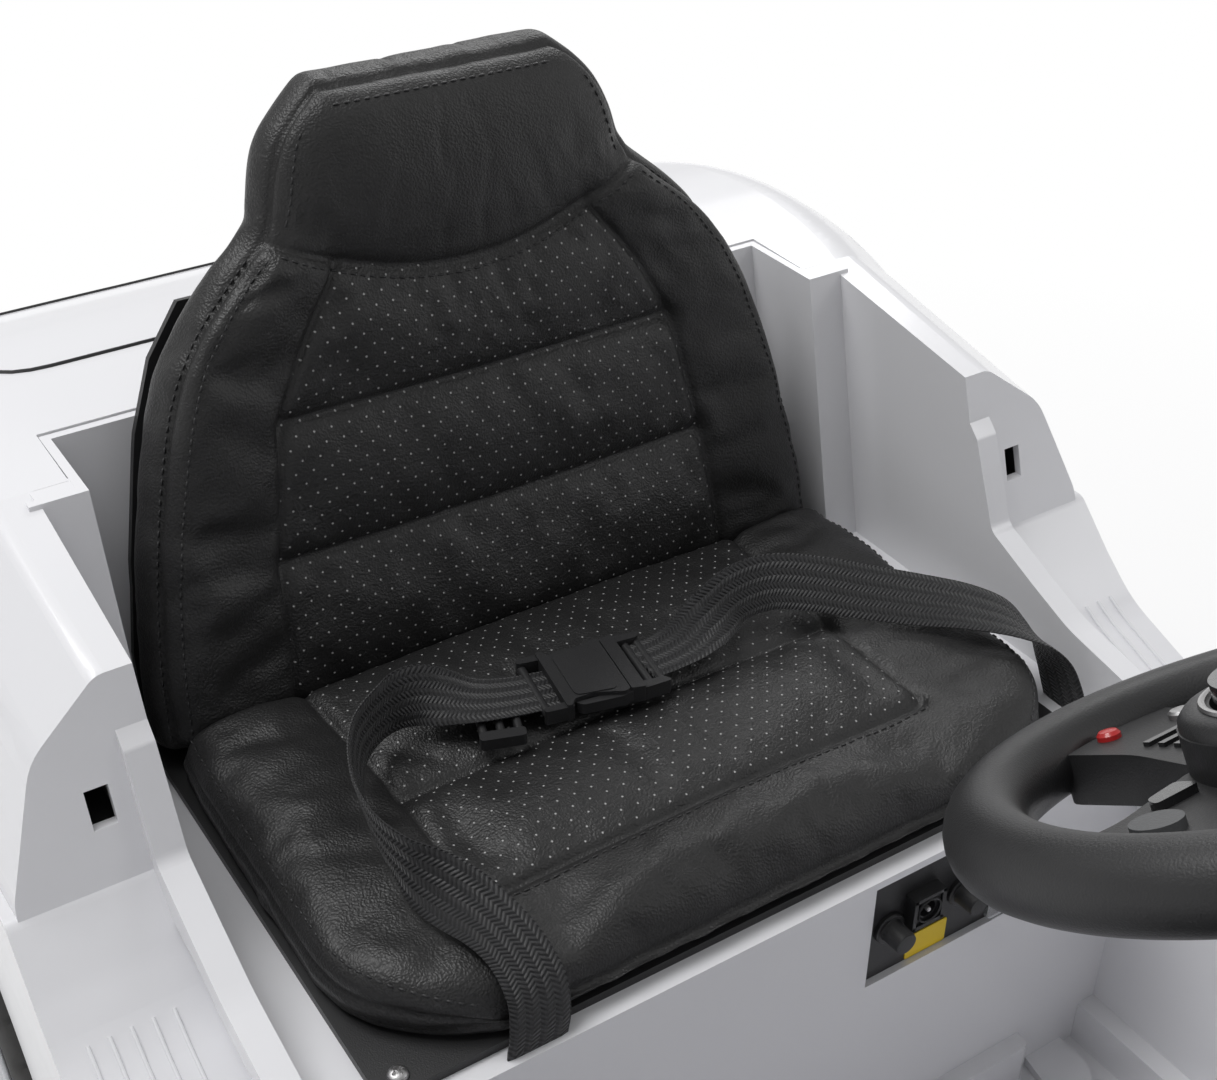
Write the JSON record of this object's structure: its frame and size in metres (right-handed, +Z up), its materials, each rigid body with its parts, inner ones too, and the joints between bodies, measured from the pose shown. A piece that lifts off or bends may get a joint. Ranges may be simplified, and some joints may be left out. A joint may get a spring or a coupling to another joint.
{
  "type": "electric ride-on car",
  "caption": "Child's battery ride-on car with a white moulded body, padded leatherette seat, lap belt, steered front wheels, hinged doors and a gear-driven rear axle.",
  "frame": {"origin": "on the ground under the middle of the car's length and width", "axes": "+X to the car's left, -Y to its front, +Z up"},
  "size_m": [1.1488, 1.144, 0.558],
  "materials": {
    "body_white": "moulded gloss white",
    "seat_leather": "grained leatherette, sewn",
    "belt_webbing": "woven webbing",
    "black_plastic": "fine textured",
    "gloss_black": "polished",
    "grey_plastic": "textured",
    "tyre_black": "moulded tread",
    "rim_silver": "silver paint",
    "bare_steel": "zinc plated",
    "clear_cover": "clear moulded",
    "lamp_clear": "clear moulded",
    "lamp_red": "translucent red",
    "reflector": "bright",
    "screen_smoke": "smoked clear",
    "mirror_face": "foil mirror",
    "gear_nylon": "natural nylon",
    "battery_case": "plain",
    "button_red": "gloss"
  },
  "bodies": {
    "chassis": {"cockpit_tub": "body_white", "front_body": "body_white", "rear_body": "body_white", "mirror_housings": "body_white", "bumpers": "black_plastic", "dashboard": "black_plastic", "seat_shell": "black_plastic", "buckle_socket": "black_plastic", "buckle_tongue": "black_plastic", "belt_adjuster": "black_plastic", "charge_panel": "black_plastic", "charge_socket": "black_plastic", "cover_screw": "black_plastic", "control_box": "black_plastic", "column_bush": "black_plastic", "grille": "gloss_black", "chassis_pan": "grey_plastic", "gearbox_cases": "grey_plastic", "seat_cushion": "seat_leather", "seat_back": "seat_leather", "belt_left": "belt_webbing", "belt_right": "belt_webbing", "seat_screws": "bare_steel", "motors": "bare_steel", "rear_axle": "bare_steel", "front_axle_beam": "bare_steel", "door_pins": "bare_steel", "headlight_lenses": "lamp_clear", "headlight_bowls": "reflector", "taillight_lenses": "lamp_red", "windscreen": "screen_smoke", "mirror_glasses": "mirror_face", "battery": "battery_case"},
    "steering": {"steering_column": "bare_steel", "steering_wheel": "gloss_black"},
    "horn": {"horn_button": "gloss_black"},
    "key_left": {"wheel_button_left": "grey_plastic"},
    "key_right": {"wheel_button_right": "grey_plastic"},
    "knuckle_left": {"knuckle_left": "bare_steel"},
    "knuckle_right": {"knuckle_right": "bare_steel"},
    "tie_rod": {"tie_rod": "bare_steel"},
    "front_wheel_left": {"front_tyre_left": "tyre_black", "front_rim_left": "rim_silver"},
    "rear_wheel_left": {"rear_tyre_left": "tyre_black", "rear_rim_left": "rim_silver", "drive_gear_left": "gear_nylon"},
    "pinion_left": {"motor_pinion_left": "gear_nylon"},
    "door_left": {"door_left": "body_white"},
    "front_wheel_right": {"front_tyre_right": "tyre_black", "front_rim_right": "rim_silver"},
    "rear_wheel_right": {"rear_tyre_right": "tyre_black", "rear_rim_right": "rim_silver", "drive_gear_right": "gear_nylon"},
    "pinion_right": {"motor_pinion_right": "gear_nylon"},
    "door_right": {"door_right": "body_white"},
    "pedal": {"pedal": "black_plastic"},
    "power_button": {"power_button": "button_red"},
    "direction_rocker": {"direction_rocker": "grey_plastic"},
    "socket_cover": {"socket_cover": "clear_cover"}
  },
  "joints": [
    {"name": "steer", "type": "hinge", "parent": "chassis", "child": "steering", "pos_m": [0, -0.09, 0.498], "axis": [0, 0.565, 0.8251], "range_deg": [-30, 30]},
    {"name": "horn_press", "type": "slide", "parent": "steering", "child": "horn", "axis": [0, -0.565, -0.8251], "range_m": [0, 0.0025], "stiffness_N_per_m": 700, "springref_m": -0.002},
    {"name": "key_left_press", "type": "slide", "parent": "steering", "child": "key_left", "axis": [0, -0.565, -0.8251], "range_m": [0, 0.0015], "stiffness_N_per_m": 400, "springref_m": -0.002},
    {"name": "knuckle_left_turn", "type": "hinge", "parent": "chassis", "child": "knuckle_left", "pos_m": [0.186, -0.333, 0.12], "axis": [0, 0, 1], "range_deg": [-21, 21]},
    {"name": "front_left_roll", "type": "hinge", "parent": "knuckle_left", "child": "front_wheel_left", "pos_m": [0.24, -0.333, 0.12], "axis": [1, 0, 0], "continuous": true},
    {"name": "rear_left_roll", "type": "hinge", "parent": "chassis", "child": "rear_wheel_left", "pos_m": [0.24, 0.364, 0.12], "axis": [1, 0, 0], "continuous": true},
    {"name": "pinion_left_spin", "type": "hinge", "parent": "chassis", "child": "pinion_left", "pos_m": [0.176, 0.39103, 0.13893], "axis": [1, 0, 0], "continuous": true},
    {"name": "door_left_swing", "type": "hinge", "parent": "chassis", "child": "door_left", "pos_m": [0.25, -0.15, 0.3], "axis": [0, 0, 1], "range_deg": [0, 60]},
    {"name": "key_right_press", "type": "slide", "parent": "steering", "child": "key_right", "axis": [0, -0.565, -0.8251], "range_m": [0, 0.0015], "stiffness_N_per_m": 400, "springref_m": -0.002},
    {"name": "knuckle_right_turn", "type": "hinge", "parent": "chassis", "child": "knuckle_right", "pos_m": [-0.186, -0.333, 0.12], "axis": [0, 0, 1], "range_deg": [-21, 21]},
    {"name": "front_right_roll", "type": "hinge", "parent": "knuckle_right", "child": "front_wheel_right", "pos_m": [-0.24, -0.333, 0.12], "axis": [1, 0, 0], "continuous": true},
    {"name": "rear_right_roll", "type": "hinge", "parent": "chassis", "child": "rear_wheel_right", "pos_m": [-0.24, 0.364, 0.12], "axis": [1, 0, 0], "continuous": true},
    {"name": "pinion_right_spin", "type": "hinge", "parent": "chassis", "child": "pinion_right", "pos_m": [-0.176, 0.39103, 0.13893], "axis": [1, 0, 0], "continuous": true},
    {"name": "door_right_swing", "type": "hinge", "parent": "chassis", "child": "door_right", "pos_m": [-0.25, -0.15, 0.3], "axis": [0, 0, -1], "range_deg": [0, 60]},
    {"name": "tie_rod_shift", "type": "slide", "parent": "chassis", "child": "tie_rod", "axis": [1, 0, 0], "range_m": [-0.0165, 0.0165]},
    {"name": "pedal_press", "type": "hinge", "parent": "chassis", "child": "pedal", "pos_m": [-0.092, -0.11, 0.102], "axis": [1, 0, 0], "range_deg": [0, 12], "stiffness_Nm_per_rad": 6, "springref_deg": -6.88},
    {"name": "power_press", "type": "slide", "parent": "chassis", "child": "power_button", "axis": [0, -1, 0], "range_m": [0, 0.003], "stiffness_N_per_m": 500, "springref_m": -0.002},
    {"name": "direction_tip", "type": "hinge", "parent": "chassis", "child": "direction_rocker", "pos_m": [-0.096, -0.141, 0.422], "axis": [1, 0, 0], "range_deg": [-12, 12]},
    {"name": "cover_swivel", "type": "hinge", "parent": "chassis", "child": "socket_cover", "pos_m": [0.11592, 0.103, 0.2358], "axis": [0, 1, 0], "range_deg": [-60, 60]}
  ],
  "couplings": [
    {"joint": "knuckle_left_turn", "follows": "steer", "ratio": 0.66667},
    {"joint": "pinion_left_spin", "follows": "rear_left_roll", "ratio": -4.5},
    {"joint": "knuckle_right_turn", "follows": "steer", "ratio": 0.66667},
    {"joint": "pinion_right_spin", "follows": "rear_right_roll", "ratio": -4.5},
    {"joint": "tie_rod_shift", "follows": "steer", "m_per_rad": 0.03}
  ]
}
